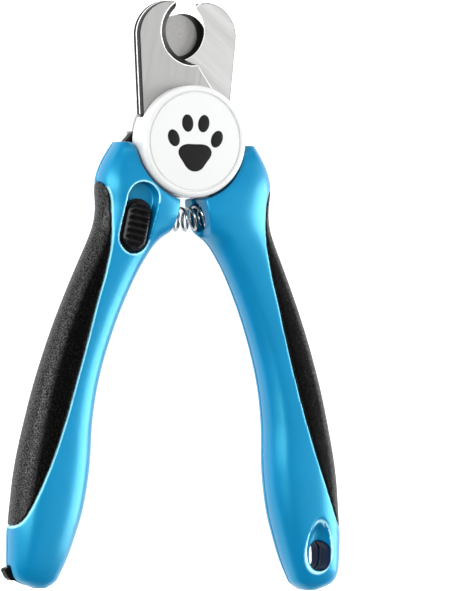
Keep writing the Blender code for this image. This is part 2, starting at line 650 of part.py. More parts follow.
def main():
    clear_scene()
    blue = make_material("handle_blue", (0.02, 0.33, 0.62), 0.35, 0.0)
    black = make_material("grip_black", (0.02, 0.02, 0.02), 0.75, 0.0)
    white = make_material("cap_white", (0.85, 0.86, 0.86), 0.25, 0.0)
    steel = make_material("ground_steel", (0.62, 0.61, 0.60), 0.35, 1.0)
    zinc = make_material("bright_spring", (0.75, 0.75, 0.76), 0.2, 1.0)

    right = add_empty("right_lever_axis")
    guard = add_empty("guard_axis")
    lock = add_empty("lock_axis", *LOCK_CENTRE, LOCK_LEAN)
    lock_place = add_empty("lock_place", *LOCK_CENTRE, LOCK_LEAN)
    file_axis = add_empty("file_axis", *FILE_BASE, FILE_LEAN)
    file_place = add_empty("file_place", *FILE_BASE, FILE_LEAN)

    make_blade("rear_blade", 1, steel)
    make_blade("front_blade", -1, steel, right)
    make_guard(steel, guard)
    make_pivot(steel, right)
    make_cap("front_cap", 1, FRONT_WINDOWS, white, right)
    make_cap("rear_cap", -1, REAR_WINDOWS, white)

    left_shells = make_shells("left", -1, blue)
    right_shells = make_shells("right", 1, blue, right)
    make_grip("left_grip", -1, black, None)
    make_grip("right_grip", 1, black, right)
    cut_tang_pocket(left_shells["rear"], -1, None)
    cut_tang_pocket(right_shells["front"], 1, right)
    make_pins(steel, {-1: None, 1: right})
    make_spring(zinc)
    cut_lock_space(left_shells["front"], lock_place)
    make_lock(black, steel, lock)
    make_detent(steel, lock_place)
    for word, shell in left_shells.items():
        cut_file_space(shell, word, file_place)
    for word, shell in right_shells.items():
        cut_hanging_hole(shell, word, right)
    make_file(steel, black, file_axis)


main()
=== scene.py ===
"""Looks for the pet nail trimmer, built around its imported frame.

Shapes are worked out in millimetres, with heights measured from the mid-plane between the two
blades, and turned into metres when a mesh is made.
"""
import json
from math import atan2, cos, degrees, hypot, pi, radians, sin, sqrt

import bpy
import numpy as np
from mathutils import Matrix, Vector


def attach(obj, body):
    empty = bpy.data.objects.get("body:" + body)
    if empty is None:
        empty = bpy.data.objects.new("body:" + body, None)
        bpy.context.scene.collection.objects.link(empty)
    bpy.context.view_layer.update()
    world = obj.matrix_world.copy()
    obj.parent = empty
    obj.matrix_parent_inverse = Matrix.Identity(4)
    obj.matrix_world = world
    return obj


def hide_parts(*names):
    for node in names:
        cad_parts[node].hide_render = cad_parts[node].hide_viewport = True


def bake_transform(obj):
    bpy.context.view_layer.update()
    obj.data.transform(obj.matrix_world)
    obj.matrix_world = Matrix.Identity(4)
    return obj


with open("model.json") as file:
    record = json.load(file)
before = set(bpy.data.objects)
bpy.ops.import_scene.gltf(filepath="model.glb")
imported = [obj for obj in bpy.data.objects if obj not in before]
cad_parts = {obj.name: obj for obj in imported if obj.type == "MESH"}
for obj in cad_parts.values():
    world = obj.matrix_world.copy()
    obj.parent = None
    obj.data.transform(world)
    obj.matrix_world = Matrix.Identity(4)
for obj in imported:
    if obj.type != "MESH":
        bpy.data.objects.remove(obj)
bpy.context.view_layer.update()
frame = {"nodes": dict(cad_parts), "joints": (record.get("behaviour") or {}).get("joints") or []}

MM = 0.001
JOINTS = {joint["name"]: joint for joint in frame["joints"]}
PIVOT = Vector(JOINTS["lever_hinge"]["pos_m"])
MID_HEIGHT = PIVOT.z / MM
GAP = 0.3
HALF_GAP = GAP / 2
FAR = 60.0

# Blades, guard and caps. A circle is given as centre x, centre y and radius, a pair of heights as
# low and high, and a dictionary by side: -1 is the left of the picture and 1 the right.
BLADE_NEAR = HALF_GAP
BLADE_FAR = {-1: 4.75, 1: 3.15}
TANG_FAR = 3.15
TANG_STEP = (16.3, 60.0, -80.0, 12.0)  # radii and angles of the area where the tang is thinner
HUB_RADIUS = 11.0
LUG_RADIUS = 14.1
LUG_ANGLES = (-60.0, -54.5)
BOLT_HOLE = 3.3
JAW_CORNER = ((12.3, 6.9), (14.4, 7.3))
JAW_ROUND = (6.3, 30.1, 9.8)
JAW_TIP = ((4.8, 39.6), (3.4, 38.7))
JAW_THROAT = ((-0.3, 23.5), (-2.1, 22.0), (-6.3, 16.0), (-9.6, 9.7), (-12.6, 5.2), (-13.6, 1.9))
EDGE_CIRCLE = (-2.6, 31.6, 8.6)
BEVEL_CIRCLE = {-1: (-0.4, 31.4, 9.8), 1: (-1.1, 31.4, 9.8)}
SIDE_LINE = (2.15, 0.3, 0.22)  # fine groove round the front jaw's side: height, half width, depth
TANG = ((-15.6, 1.9), (-21.6, -4.8), (-21.6, -14.0), (-23.4, -28.0), (-23.9, -35.6), (-23.0, -36.5),
        (-19.4, -36.5), (-18.4, -35.5), (-14.8, -26.0), (-10.0, -17.5))
TANG_PINS = ((-19.2, -8.5), (-20.9, -33.2))
PIN_HOLE = 1.8
PIN_REACH = 4.2
MOULD_FILL = 0.45             # extra depth for hidden pockets, whose corners the moulding's rounding fills
GUARD_Z = (-4.65, -3.95)
GUARD_TIP = (1.3, 29.4, 7.2)
GUARD_HUB = 9.0
GUARD_PAD = (-0.6, 30.3, 5.9)
GUARD_PAD_Z = -3.45
BLADE_BEVEL = 0.2
GUARD_BEVEL = 0.18
CAP_RADIUS = 16.0
CAP_FACE_Z = 9.3
CAP_FILLET = 1.4
CAP_SKIN = 1.3
CAP_WALL = 1.6
CAP_SKIRT_Z = 0.8
CAP_DISH = 0.18
CAP_GROOVE = (14.5, 14.35, 14.2, 13.95, 13.75, 13.6)  # radii down one wall of the groove and up the other
CAP_GROOVE_DEPTH = 0.25
CAP_WINDOW = (13.4, 18.0)     # radii between which the skirt is cut away
HORN_BORE = 16.8
PAW_TOES = ((-6.7, 0.8, -22.0), (-2.5, 5.1, -8.0), (2.5, 5.1, 8.0), (6.7, 0.8, 22.0))  # x, y, lean
TOE_HALF = (1.75, 2.5)
PAD_HALF = (4.9, 3.9)
PAD_Y = -4.2
PRINT_HEIGHT = 0.05

# Handles: y, inner x, outer x, half thickness
STATIONS = (
    (-0.6, 17.2, 21.4, 3.4), (-2.4, 14.0, 22.6, 4.9), (-8.0, 8.5, 25.6, 6.7), (-14.0, 2.0, 26.8, 7.9),
    (-19.5, -2.0, 26.5, 8.0), (-24.0, 1.4, 27.0, 7.4), (-28.0, 7.5, 28.3, 7.0), (-33.8, 12.0, 30.8, 6.8),
    (-42.4, 16.5, 34.5, 6.7), (-54.0, 21.2, 39.0, 6.8), (-68.0, 25.3, 43.5, 7.2), (-79.5, 27.1, 46.4, 7.8),
    (-93.7, 27.8, 49.3, 8.3), (-105.0, 29.5, 50.5, 8.2), (-113.7, 32.0, 51.1, 7.6),
    (-119.4, 34.0, 51.1, 6.8), (-123.4, 35.8, 50.6, 5.8), (-126.0, 37.3, 48.4, 4.6),
    (-127.6, 40.0, 44.2, 3.0),
)
HANDLE_Z = 0.9
SECTION_POWER = 2.5
SECTION_POINTS = 72
RING_STEP = 1.0
LOBE_FACES = {-1: {"front": 10.9, "rear": 13.2}, 1: {"front": 14.4, "rear": 12.0}}
LOBE_REACH = 27.6
LOBE_CHAMFER = (2.6, 2.4)
GRIP_EDGE = ((29.5, -10.6), (27.0, -11.6), (25.2, -14.2), (24.2, -19.0), (24.1, -25.7), (25.9, -37.1),
             (28.3, -45.7), (31.2, -57.2), (34.4, -68.7), (37.8, -80.2), (41.8, -91.7), (46.4, -103.0),
             (48.6, -107.6), (50.3, -109.8), (53.5, -111.2))
GRIP_SIDE = 2.0
GRIP_FACE = 1.5
GRIP_SINK = 0.12              # the grip's surface lies this far under the plastic's
VOXEL = 0.34                  # mesh size of the moulded surfaces
ROUNDING = 6                  # smoothing passes that round their edges
RIM_HIGHLIGHT_WIDTH = 0.42

# Spring, lock, file and hanging hole
SPRING_ARC = 22.2
SPRING_COIL = 3.2
SPRING_WIRE = 0.42
SPRING_TURNS = 7
SPRING_STEPS = 44             # rings of the mesh in each turn
WIRE_SIDES = 14
SPRING_END_GAP = 1.8
POCKET_ANGLE = 25.5
POCKET_RADIUS = 4.0
LOCK_CENTRE = (-16.8, -24.7)
LOCK_LEAN = 11.0
LOCK_TRAVEL = 4.4
LOCK_PLAY = 0.35              # clearance round the sliding bolt
SLOT_SIZE = (9.2, 20.6)
SLOT_SHIFT = 2.65
SLOT_FLOOR = 4.9
BASE_SIZE = (8.6, 15.4)
BASE_Z = (5.2, 6.4)
BUTTON_SIZE = (7.5, 14.2)
BUTTON_TOP = 8.8
BUTTON_SHIFT = 0.4
BUTTON_BEVEL = 0.25
BUTTON_RISE = 1.3             # height of its rounded top, the crown and the ribs together
CROWN_RISE = 0.62
RIB_RISE = 0.68
RIB_PITCH = 1.85
STEM = 1.2
STEM_END = 0.9
LOCK_BOLT_TOP = 2.85
BOLT_HALF = (2.6, 4.0)
NOSE_X = (2.97, 5.57)
LEAF_X = (2.3, 3.3)
LEAF_GROOVE_TOP = 5.85
FILE_BASE = (-44.0, -126.4)
FILE_LEAN = 10.9
FILE_HALF_WIDTH = 4.9
FILE_HALF_THICKNESS = 0.5
FILE_START = 6.0
FILE_END = 86.5
FILE_STEP = 0.25              # mesh size of the file's faces
FILE_PITCH = 1.45
FILE_CUT_LEAN = 33.0
FILE_CUT_START = 14.0
FILE_CUT_HALF = 0.3
FILE_CUT_DEPTH = 0.14
FILE_EDGE_DROP = 0.12
FILE_CAP = ((-6.2, 12.0), (6.2, 12.0), (6.2, 4.6), (3.6, 2.2), (-4.0, 0.3), (-6.2, -0.3), (-7.3, 0.2),
            (-9.0, 2.1), (-8.7, 2.8), (-7.6, 3.4), (-6.2, 3.9))
FILE_CAP_HALF = 1.7
CATCH_LINES = 4               # finger lines across the catch's tip
LINE_START = 1.4
LINE_PITCH = 0.75
LINE_HALF = 0.15
LINE_REACH = -8.2
LINE_DEPTH = 0.35
CATCH_VOXEL = 0.16
CATCH_ROUNDING = 4
HANG_CENTRE = (43.2, -117.6)
HANG_HOLE = (5.9, 8.4)
HANG_RECESS = (8.0, 15.0, 0.22)   # width, length, and how much narrower it is at its top
HANG_RECESS_SHIFT = (-0.7, 2.6)
HANG_RECESS_FLOOR = 5.9
MOUTH_Z = 8.0                 # height of the face round the recess

# Camera and floor
VIEW_TILT = 24.3              # degrees that the view leans towards the left handle
VIEW_ROLL = 1.35
VIEW_SHIFT = (14.46, 43.9)    # how far the picture's centre is right of and below the pivot
VIEW_DISTANCE = 2.2           # metres
VIEW_HEIGHT = 591 / 3506      # metres that the picture's height spans at the pivot
FLOOR_REACH = 3000


# ---------------------------------------------------------------- outlines

def arc(cx, cy, radius, start, end, steps):
    turn = [radians(start + (end - start) * i / steps) for i in range(steps + 1)]
    return [(cx + radius * cos(t), cy + radius * sin(t)) for t in turn]


def circle(cx, cy, radius, sides):
    return arc(cx, cy, radius, 0.0, 360.0 * (1 - 1 / sides), sides - 1)


def stadium(cx, cy, width, length, steps=24):
    radius = width / 2
    half = length / 2 - radius
    return arc(cx, cy + half, radius, 0.0, 180.0, steps) + arc(cx, cy - half, radius, 180.0, 360.0, steps)


def sector(inner, outer, start, end, steps=40):
    return arc(0, 0, outer, start, end, steps) + arc(0, 0, inner, end, start, steps)


def egg(cx, cy, width, length, taper, sides=72):
    """An ellipse that is narrower at its top."""
    points = []
    for i in range(sides):
        turn = 2 * pi * i / sides
        points.append((cx + width / 2 * cos(turn) * (1 - taper * sin(turn)), cy + length / 2 * sin(turn)))
    return points


def rectangle(low_x, low_y, high_x, high_y):
    return [(low_x, low_y), (high_x, low_y), (high_x, high_y), (low_x, high_y)]


def mirrored(points):
    return [(-x, y) for x, y in points]


def down_line(angle, radius):
    """The point at this distance from the pivot, angle degrees to the right of -Y."""
    return radius * sin(radians(angle)), -radius * cos(radians(angle))


def turned_about(points, lean, centre):
    """Outline drawn in a frame that leans clockwise by lean degrees at centre."""
    c, s = cos(radians(lean)), sin(radians(lean))
    return [(centre[0] + x * c + y * s, centre[1] - x * s + y * c) for x, y in points]


def offset(points, distance):
    """The closed outline moved outwards by distance."""
    area = sum(a[0] * b[1] - b[0] * a[1] for a, b in zip(points, points[1:] + points[:1]))
    side = 1.0 if area > 0 else -1.0
    moved = []
    for before, here, after in zip(points[-1:] + points[:-1], points, points[1:] + points[:1]):
        into = Vector((here[0] - before[0], here[1] - before[1])).normalized()
        out = Vector((after[0] - here[0], after[1] - here[1])).normalized()
        normal_in = Vector((into.y, -into.x)) * side
        normal_out = Vector((out.y, -out.x)) * side
        bisector = (normal_in + normal_out).normalized()
        reach = distance / max(bisector.dot(normal_in), 0.5)
        moved.append((here[0] + bisector.x * reach, here[1] + bisector.y * reach))
    return moved


def monotone(xs, ys, x):
    """Smooth curve through the given points that never overshoots them (Fritsch-Carlson)."""
    xs, ys = np.asarray(xs, float), np.asarray(ys, float)
    step = np.diff(xs)
    slope = np.diff(ys) / step
    tangent = np.concatenate(([slope[0]], (slope[1:] + slope[:-1]) / 2, [slope[-1]]))
    tangent[1:-1][slope[1:] * slope[:-1] <= 0] = 0.0
    for i, value in enumerate(slope):
        limit = 3 * abs(value)
        tangent[i] = np.clip(tangent[i], -limit, limit)
        tangent[i + 1] = np.clip(tangent[i + 1], -limit, limit)
    index = np.clip(np.searchsorted(xs, x) - 1, 0, len(step) - 1)
    h = step[index]
    t = (x - xs[index]) / h
    t2, t3 = t * t, t * t * t
    return ((2 * t3 - 3 * t2 + 1) * ys[index] + (t3 - 2 * t2 + t) * h * tangent[index]
            + (3 * t2 - 2 * t3) * ys[index + 1] + (t3 - t2) * h * tangent[index + 1])


# ---------------------------------------------------------------- mesh helpers

def add_mesh(name, points, faces, material=None):
    """points are millimetres with z from the mid-plane."""
    mesh = bpy.data.meshes.new(name)
    points = np.asarray(points, float)
    points[:, 2] += MID_HEIGHT
    mesh.from_pydata((points * MM).tolist(), [], faces)
    mesh.update()
    made = bpy.data.objects.new(name, mesh)
    bpy.context.scene.collection.objects.link(made)
    if material is not None:
        mesh.materials.append(material)
    return made


def winding(rings):
    """Negative when the rings of a loft run clockwise, seen against its direction."""
    ring = np.asarray(rings[len(rings) // 2], float)
    normal = np.cross(ring, np.roll(ring, -1, axis=0)).sum(0)
    along = np.asarray(rings[-1], float).mean(0) - np.asarray(rings[0], float).mean(0)
    return float(normal @ along)


def loft(name, rings, material=None):
    """A closed skin through rings of equal length, with a flat face at each end."""
    count = len(rings[0])
    points = np.concatenate([np.asarray(ring, float) for ring in rings])
    flip = winding(rings) < 0
    faces = []
    for r in range(len(rings) - 1):
        a, b = r * count, (r + 1) * count
        for i in range(count):
            j = (i + 1) % count
            quad = (a + i, a + j, b + j, b + i)
            faces.append(quad[::-1] if flip else quad)
    first = tuple(range(count))
    last = tuple(range((len(rings) - 1) * count, len(rings) * count))
    faces.append(first if flip else first[::-1])
    faces.append(last[::-1] if flip else last)
    return add_mesh(name, points, faces, material)


def prism(name, outline, low, high, material=None):
    return loft(name, [[(x, y, z) for x, y in outline] for z in (low, high)], material)


def lathe(name, profile, sides, material=None):
    """Revolves an open (radius, z) profile whose two ends lie on the axis."""
    points = [(0.0, 0.0, profile[0][1])]
    for radius, z in profile[1:-1]:
        points += [(x, y, z) for x, y in circle(0, 0, radius, sides)]
    points.append((0.0, 0.0, profile[-1][1]))
    faces = []
    rows = len(profile) - 2
    last = len(points) - 1
    for i in range(sides):
        j = (i + 1) % sides
        faces.append((0, 1 + j, 1 + i))
        for r in range(rows - 1):
            a, b = 1 + r * sides, 1 + (r + 1) * sides
            faces.append((a + i, a + j, b + j, b + i))
        a = 1 + (rows - 1) * sides
        faces.append((a + i, a + j, last))
    return add_mesh(name, points, faces, material)


def combine(target, tool, operation="DIFFERENCE", solver="MANIFOLD"):
    """Applies a Boolean at once and removes the tool."""
    modifier = target.modifiers.new("cut", "BOOLEAN")
    modifier.operation = operation
    modifier.solver = solver
    modifier.object = tool
    bake(target)
    bpy.data.objects.remove(tool, do_unlink=True)


def bake(target):
    """Replaces an object's mesh with what its modifiers make of it."""
    bpy.context.view_layer.update()
    graph = bpy.context.evaluated_depsgraph_get()
    mesh = bpy.data.meshes.new_from_object(target.evaluated_get(graph))
    target.modifiers.clear()
    old = target.data
    target.data = mesh
    bpy.data.meshes.remove(old)


def mould(target, voxel=VOXEL, passes=ROUNDING):
    """Even mesh with softly rounded edges, as a moulding has."""
    remesh = target.modifiers.new("remesh", "REMESH")
    remesh.mode = "VOXEL"
    remesh.voxel_size = voxel * MM
    smooth = target.modifiers.new("smooth", "SMOOTH")
    smooth.factor = 0.5
    smooth.iterations = passes
    bake(target)
    target.data.shade_smooth()


def paint(target, materials, kind):
    """Gives every face the material that kind(centre in mm from the mid-plane, normal) picks."""
    mesh = target.data
    mesh.materials.clear()
    for material in materials:
        mesh.materials.append(material)
    for face in mesh.polygons:
        centre = face.center / MM - Vector((0, 0, MID_HEIGHT))
        face.material_index = kind(centre, face.normal)


def round_edges(target, width, segments=2, angle=28.0, material=-1, clamp=True):
    """Small bevel on the sharp edges of a plate or machined piece."""
    bevel = target.modifiers.new("bevel", "BEVEL")
    bevel.width = width * MM
    bevel.segments = segments
    bevel.limit_method = "ANGLE"
    bevel.material = material
    bevel.use_clamp_overlap = clamp
    bevel.angle_limit = radians(angle)
    bake(target)
    target.data.shade_smooth()
    target.data.set_sharp_from_angle(angle=radians(12.0))


def place(piece, node, body):
    """The piece rides on its body and stands for the CAD node of the same purpose."""
    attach(piece, body)
    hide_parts(node)


# ---------------------------------------------------------------- materials

class Shader:
    """Short way to write a material's nodes."""

    def __init__(self, name, colour, roughness, metallic=0.0):
        self.material = bpy.data.materials.new(name)
        self.material.use_nodes = True
        self.tree = self.material.node_tree
        self.out = self.tree.nodes["Principled BSDF"]
        self.out.inputs["Base Color"].default_value = (*colour, 1.0)
        self.out.inputs["Roughness"].default_value = roughness
        self.out.inputs["Metallic"].default_value = metallic
        self.place = self.tree.nodes.new("ShaderNodeTexCoord").outputs["Object"]

    def node(self, kind, **values):
        made = self.tree.nodes.new(kind)
        for key, value in values.items():
            setattr(made, key, value)
        return made

    def link(self, a, b):
        self.tree.links.new(a, b)

    def stretched(self, scale, direction):
        """Coordinates turned so that X runs at direction degrees, then scaled."""
        turn = self.node("ShaderNodeMapping")
        turn.inputs["Rotation"].default_value = (0.0, 0.0, -radians(direction))
        self.link(self.place, turn.inputs["Vector"])
        made = self.node("ShaderNodeMapping")
        made.inputs["Scale"].default_value = scale
        self.link(turn.outputs["Vector"], made.inputs["Vector"])
        return made.outputs["Vector"]

    def noise(self, scale, detail=3.0, rough=0.5, vector=None):
        made = self.node("ShaderNodeTexNoise")
        made.inputs["Scale"].default_value = scale
        made.inputs["Detail"].default_value = detail
        made.inputs["Roughness"].default_value = rough
        self.link(vector or self.place, made.inputs["Vector"])
        return made.outputs["Fac"]

    def spread(self, value, low, high, from_low=0.0, from_high=1.0):
        made = self.node("ShaderNodeMapRange")
        made.inputs["From Min"].default_value = from_low
        made.inputs["From Max"].default_value = from_high
        made.inputs["To Min"].default_value = low
        made.inputs["To Max"].default_value = high
        self.link(value, made.inputs["Value"])
        return made.outputs["Result"]

    def ramp(self, value, stops):
        made = self.node("ShaderNodeValToRGB")
        elements = made.color_ramp.elements
        while len(elements) < len(stops):
            elements.new(0.5)
        for element, (at, colour) in zip(elements, stops):
            element.position = at
            element.color = (*colour, 1.0)
        self.link(value, made.inputs["Fac"])
        return made.outputs["Color"]

    def bump(self, height, strength, depth_mm, below=None):
        made = self.node("ShaderNodeBump")
        made.inputs["Strength"].default_value = strength
        made.inputs["Distance"].default_value = depth_mm * MM
        self.link(height, made.inputs["Height"])
        if below is not None:
            self.link(below, made.inputs["Normal"])
        return made.outputs["Normal"]

    def scaled(self, colour, factor):
        made = self.node("ShaderNodeVectorMath", operation="SCALE")
        self.link(colour, made.inputs[0])
        self.link(factor, made.inputs["Scale"])
        return made.outputs[0]

    def set(self, socket, value):
        self.link(value, self.out.inputs[socket])


def tint(colour, factor):
    return tuple(min(1.0, c * factor) for c in colour)


def blue_plastic():
    colour = (0.0, 0.140, 0.312)
    shader = Shader("moulded_blue", colour, 0.34)
    shader.out.inputs["Specular Tint"].default_value = (0.12, 0.88, 1.0, 1.0)
    cloud = shader.noise(60.0, 2.0)
    body = shader.ramp(cloud, [(0.3, tint(colour, 0.94)), (0.7, tint(colour, 1.05))])
    # Painted highlight: a pale blue along the rims, where light catches the edges.
    rims = shader.node("ShaderNodeMix", data_type="RGBA")
    shader.link(shader.node("ShaderNodeAttribute", attribute_name="rim").outputs["Fac"], rims.inputs[0])
    shader.link(body, rims.inputs[6])
    rims.inputs[7].default_value = (0.42, 0.80, 0.90, 1.0)
    # Painted shade: inside the hanging hole the blue turns near-black and loses most of its gloss and coat.
    shade = shader.node("ShaderNodeAttribute", attribute_name="shade").outputs["Fac"]
    deep = shader.node("ShaderNodeMix", data_type="RGBA")
    shader.link(shade, deep.inputs[0])
    shader.link(rims.outputs[2], deep.inputs[6])
    deep.inputs[7].default_value = (0.0, 0.012, 0.05, 1.0)
    shader.set("Base Color", deep.outputs[2])
    shader.set("Specular IOR Level", shader.spread(shade, 1.0, 0.02))
    shader.set("Coat Weight", shader.spread(shade, 0.12, 0.0))
    shader.out.inputs["Coat Roughness"].default_value = 0.25
    shader.set("Roughness", shader.spread(shader.noise(900.0, 4.0), 0.27, 0.40))
    fine = shader.bump(shader.noise(5200.0, 2.0), 0.10, 0.02)
    shader.set("Normal", shader.bump(shader.noise(260.0, 2.0), 0.06, 0.10, fine))
    return shader.material


def black_rubber():
    shader = Shader("soft_black", (0.004, 0.004, 0.004), 0.5)
    grain = shader.noise(2800.0, 5.0, 0.75)
    stops = [(0.44, (0.001, 0.001, 0.001)), (0.56, (0.002, 0.002, 0.002)), (0.70, (0.018, 0.018, 0.018))]
    shader.set("Base Color", shader.ramp(grain, stops))
    shader.set("Roughness", shader.spread(shader.noise(1500.0, 4.0), 0.26, 0.46))
    # Painted sheen: the gloss is strong where the rubber faces sideways and faint where it faces up.
    outward = shader.node("ShaderNodeAttribute", attribute_name="outward").outputs["Fac"]
    shine = shader.node("ShaderNodeMath", operation="MULTIPLY")
    shader.link(shader.spread(grain, 0.02, 1.0, 0.44, 0.66), shine.inputs[0])
    shader.link(shader.spread(outward, 0.05, 1.0, 0.45, 0.85), shine.inputs[1])
    shader.set("Specular IOR Level", shine.outputs[0])
    shader.set("Normal", shader.bump(grain, 0.6, 0.10))
    return shader.material


def black_plastic(name, gloss):
    shader = Shader(name, (0.003, 0.003, 0.004), 0.3)
    shader.out.inputs["Specular IOR Level"].default_value = gloss
    stops = [(0.3, (0.002, 0.002, 0.002)), (0.7, (0.006, 0.006, 0.007))]
    shader.set("Base Color", shader.ramp(shader.noise(500.0), stops))
    shader.set("Roughness", shader.spread(shader.noise(1400.0, 4.0), 0.14, 0.36))
    shader.set("Normal", shader.bump(shader.noise(3200.0, 3.0), 0.22, 0.04))
    return shader.material


def white_plastic():
    shader = Shader("gloss_white", (0.54, 0.55, 0.545), 0.22)
    stops = [(0.3, (0.53, 0.54, 0.535)), (0.7, (0.55, 0.56, 0.555))]
    shader.set("Base Color", shader.ramp(shader.noise(45.0, 2.0), stops))
    shader.set("Roughness", shader.spread(shader.noise(700.0, 4.0), 0.16, 0.30))
    shader.set("Normal", shader.bump(shader.noise(380.0, 2.0), 0.05, 0.05))
    shader.out.inputs["Coat Weight"].default_value = 0.3
    shader.out.inputs["Coat Roughness"].default_value = 0.08
    return shader.material


def printed_ink():
    shader = Shader("printed_black", (0.004, 0.004, 0.004), 0.5)
    shader.out.inputs["Specular IOR Level"].default_value = 0.15
    stops = [(0.3, (0.003, 0.003, 0.003)), (0.7, (0.006, 0.006, 0.006))]
    shader.set("Base Color", shader.ramp(shader.noise(900.0), stops))
    shader.set("Roughness", shader.spread(shader.noise(2500.0), 0.32, 0.52))
    return shader.material


def ground_steel(name, grey, direction, pitch=1800.0, shade_below_y=None):
    """Steel ground in lines at direction degrees from the X axis, and dark below a given y with painted
    shade.
    """
    colour = (grey, grey * 0.995, grey * 0.985)
    shader = Shader(name, colour, 0.34, 1.0)
    streaks = shader.noise(1.0, 4.0, 0.7, shader.stretched((60.0, pitch, 60.0), direction))
    broad = shader.noise(1.0, 2.0, 0.5, shader.stretched((20.0, pitch / 4, 20.0), direction))
    ground = shader.ramp(streaks, [(0.3, tint(colour, 0.92)), (0.7, tint(colour, 1.05))])
    # Painted shade: the colour falls to 5 % below the given y.
    if shade_below_y is not None:
        split = shader.node("ShaderNodeSeparateXYZ")
        shader.link(shader.place, split.inputs[0])
        lit_share = shader.spread(split.outputs["Y"], 0.05, 1.0, (shade_below_y - 1) * MM, shade_below_y * MM)
        ground = shader.scaled(ground, lit_share)
    shader.set("Base Color", ground)
    shader.set("Roughness", shader.spread(broad, 0.28, 0.40, 0.3, 0.7))
    shader.set("Normal", shader.bump(streaks, 0.3, 0.006))
    return shader.material


def tumbled_steel(name, grey, rough, metallic=1.0):
    colour = (grey, grey * 0.99, grey * 0.97)
    shader = Shader(name, colour, sum(rough) / 2, metallic)
    shader.out.inputs["Specular IOR Level"].default_value = 0.5 * metallic
    speck = shader.noise(3000.0, 4.0, 0.6)
    shader.set("Base Color", shader.ramp(speck, [(0.3, tint(colour, 0.85)), (0.7, tint(colour, 1.08))]))
    shader.set("Roughness", shader.spread(shader.noise(1200.0, 3.0), *rough))
    shader.set("Normal", shader.bump(speck, 0.25, 0.02))
    return shader.material


def cross_cut_steel():
    """Pale plating, darkened by painted shade where the mesh is marked as a groove."""
    shader = Shader("file_plating", (0.60, 0.60, 0.59), 0.34, 0.6)
    groove = shader.node("ShaderNodeAttribute", attribute_name="groove").outputs["Fac"]
    stops = [(0.3, (0.52, 0.52, 0.51)), (0.7, (0.64, 0.64, 0.63))]
    plate = shader.ramp(shader.noise(2600.0, 4.0, 0.6), stops)
    shader.set("Base Color", shader.scaled(plate, shader.spread(groove, 1.0, 0.06, 0.35, 0.8)))
    shader.set("Roughness", shader.spread(shader.noise(900.0, 3.0), 0.28, 0.42))
    shader.set("Normal", shader.bump(shader.noise(4200.0, 2.0), 0.15, 0.01))
    return shader.material


def floor_paper():
    shader = Shader("pale_paper", (0.6, 0.6, 0.6), 0.9)
    stops = [(0.3, (0.59, 0.59, 0.59)), (0.7, (0.61, 0.61, 0.61))]
    shader.set("Base Color", shader.ramp(shader.noise(40.0), stops))
    shader.out.inputs["Emission Color"].default_value = (1.0, 1.0, 1.0, 1.0)
    shader.out.inputs["Emission Strength"].default_value = 0.85
    return shader.material


# ---------------------------------------------------------------- handles

def handle_rings(side, side_inset=0.0, face_inset=0.0):
    """Superellipse rings every millimetre along a handle."""
    rows = np.array(STATIONS)[::-1]
    count = int((rows[-1, 0] - rows[0, 0]) / RING_STEP)
    ys = np.linspace(rows[0, 0], rows[-1, 0], count)
    inner, outer, half = (monotone(rows[:, 0], rows[:, k], ys) for k in (1, 2, 3))
    turn = np.linspace(0, 2 * pi, SECTION_POINTS, endpoint=False)
    across = np.sign(np.cos(turn)) * np.abs(np.cos(turn)) ** (2 / SECTION_POWER)
    up = np.sign(np.sin(turn)) * np.abs(np.sin(turn)) ** (2 / SECTION_POWER)
    rings = []
    for y, a, b, h in zip(ys, inner, outer, half):
        b = b - side_inset
        x = (a + b) / 2 + (b - a) / 2 * across
        z = up * (h - face_inset) + HANDLE_Z
        rings.append(np.column_stack((x * side, np.full(SECTION_POINTS, y), z)))
    return rings


def smooth_edge():
    """The grip's edge as a smooth curve through its points."""
    points = np.array(GRIP_EDGE)
    along = np.concatenate(([0.0], np.cumsum(np.hypot(*np.diff(points, axis=0).T))))
    steps = np.linspace(0, along[-1], 120)
    return list(zip(monotone(along, points[:, 0], steps), monotone(along, points[:, 1], steps)))


def grip_area(shift, side):
    edge = [(x - shift, y) for x, y in smooth_edge()]
    edge[0] = (edge[0][0], edge[0][1] + shift)
    edge[-1] = (edge[-1][0], edge[-1][1] - shift)
    outline = edge + [(FAR + 10, GRIP_EDGE[-1][1] - shift), (FAR + 10, GRIP_EDGE[0][1] + shift)]
    return [(x * side, y) for x, y in outline]


def lobe_cut(level, side):
    angle = LOBE_FACES[side][level]
    corner = down_line(angle, LOBE_REACH)
    low = (corner[0] - LOBE_CHAMFER[0], corner[1] - LOBE_CHAMFER[1])
    outline = [(0, 4), (0, 0), corner, low, (-12, low[1]), (-12, 4)]
    return [(x * side, y) for x, y in outline]


def spring_pocket(side):
    rings = []
    start = -4.0
    steps = 16
    for i in range(steps + 1):
        angle = start + (POCKET_ANGLE - start) * i / steps
        ring = []
        for across, z in circle(0, 0, POCKET_RADIUS, 32):
            x, y = down_line(angle, SPRING_ARC + across)
            ring.append((x * side, y, z))
        rings.append(ring)
    return loft("pocket", rings)


def blade_outline(has_lug, steps=1):
    """Outline of the rear blade: jaw on the right, tang on the lower left."""
    jaw = list(JAW_CORNER) + arc(*JAW_ROUND, 0.0, 84.0, 9 * steps) + list(JAW_TIP) + list(JAW_THROAT)
    low_angle = -118.0
    if has_lug:
        start, end = LUG_ANGLES
        hub = arc(0, 0, HUB_RADIUS, low_angle, start, 6 * steps)
        hub += arc(0, 0, LUG_RADIUS, start, end, 2)
        hub += arc(0, 0, HUB_RADIUS, end, 0.0, 6 * steps)
    else:
        hub = arc(0, 0, HUB_RADIUS, low_angle, 0.0, 12 * steps)
    return jaw + list(TANG) + hub


